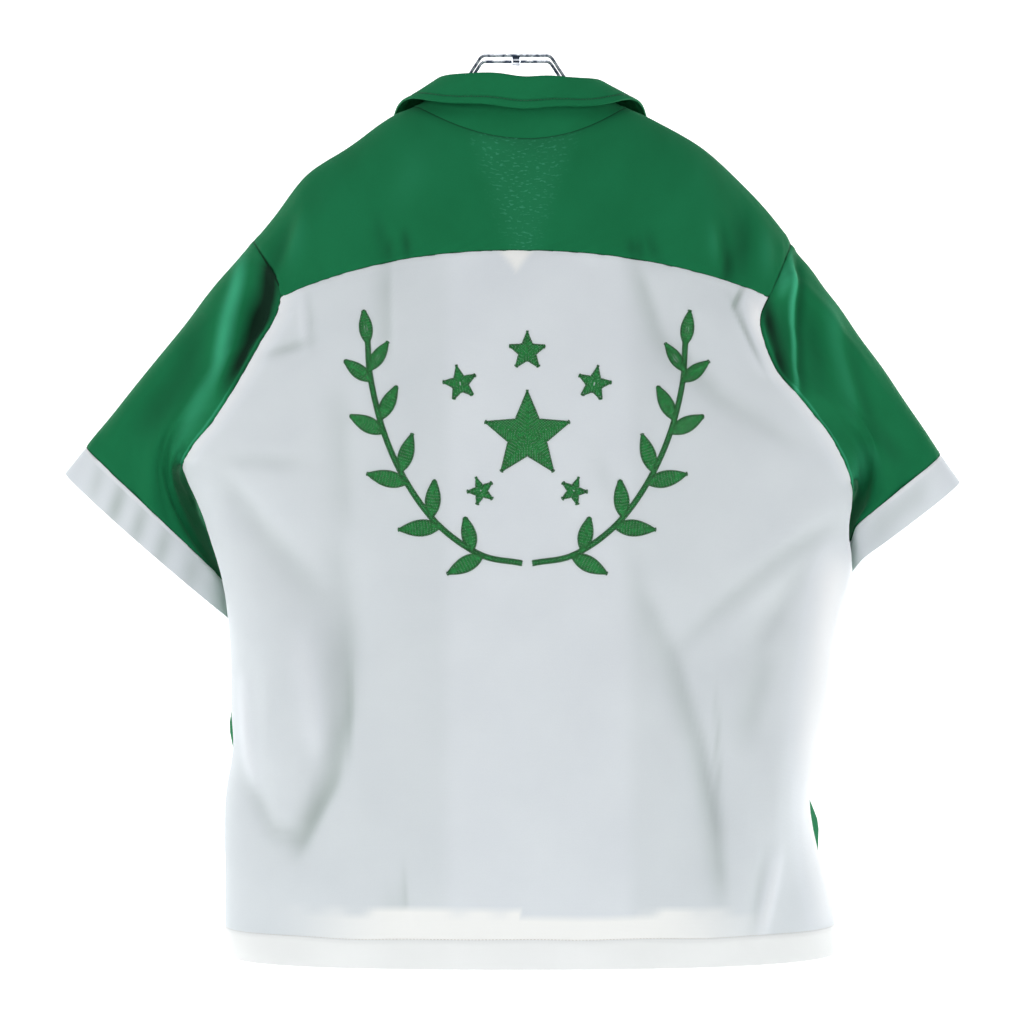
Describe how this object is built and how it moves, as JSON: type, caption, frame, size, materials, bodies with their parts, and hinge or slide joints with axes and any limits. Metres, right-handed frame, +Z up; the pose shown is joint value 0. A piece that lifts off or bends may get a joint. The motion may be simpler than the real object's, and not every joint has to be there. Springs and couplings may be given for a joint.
{
  "type": "bowling shirt on a wire hanger",
  "caption": "Short-sleeved bowling shirt, filled out and hollow, with a contrast back panel and cuffs, yoke and rolled collar, on a chrome twin-wire hanger.",
  "frame": {"origin": "on top of the hanger's neck, at its middle and midway between its two wires, where a hook or rail holds it", "axes": "+Z up, +Y towards the shirt's front, +X towards the wearer's right"},
  "size_m": [0.8237, 0.215, 0.8198],
  "materials": {
    "green_knit": "matt fine knit",
    "white_knit": "matt fine knit",
    "button_green": "gloss",
    "chrome": "polished"
  },
  "bodies": {
    "root": {"back_panel": "white_knit", "back_yoke": "green_knit", "front_left": "green_knit", "front_right": "green_knit", "sleeve_left": "green_knit", "sleeve_right": "green_knit", "cuff_left": "white_knit", "cuff_right": "white_knit", "collar": "green_knit", "lapel_left": "green_knit", "lapel_right": "green_knit", "button_1": "button_green", "button_2": "button_green", "button_3": "button_green", "button_4": "button_green", "button_5": "button_green", "hanger_wire": "chrome", "hanger_saddle": "chrome"}
  },
  "joints": []
}
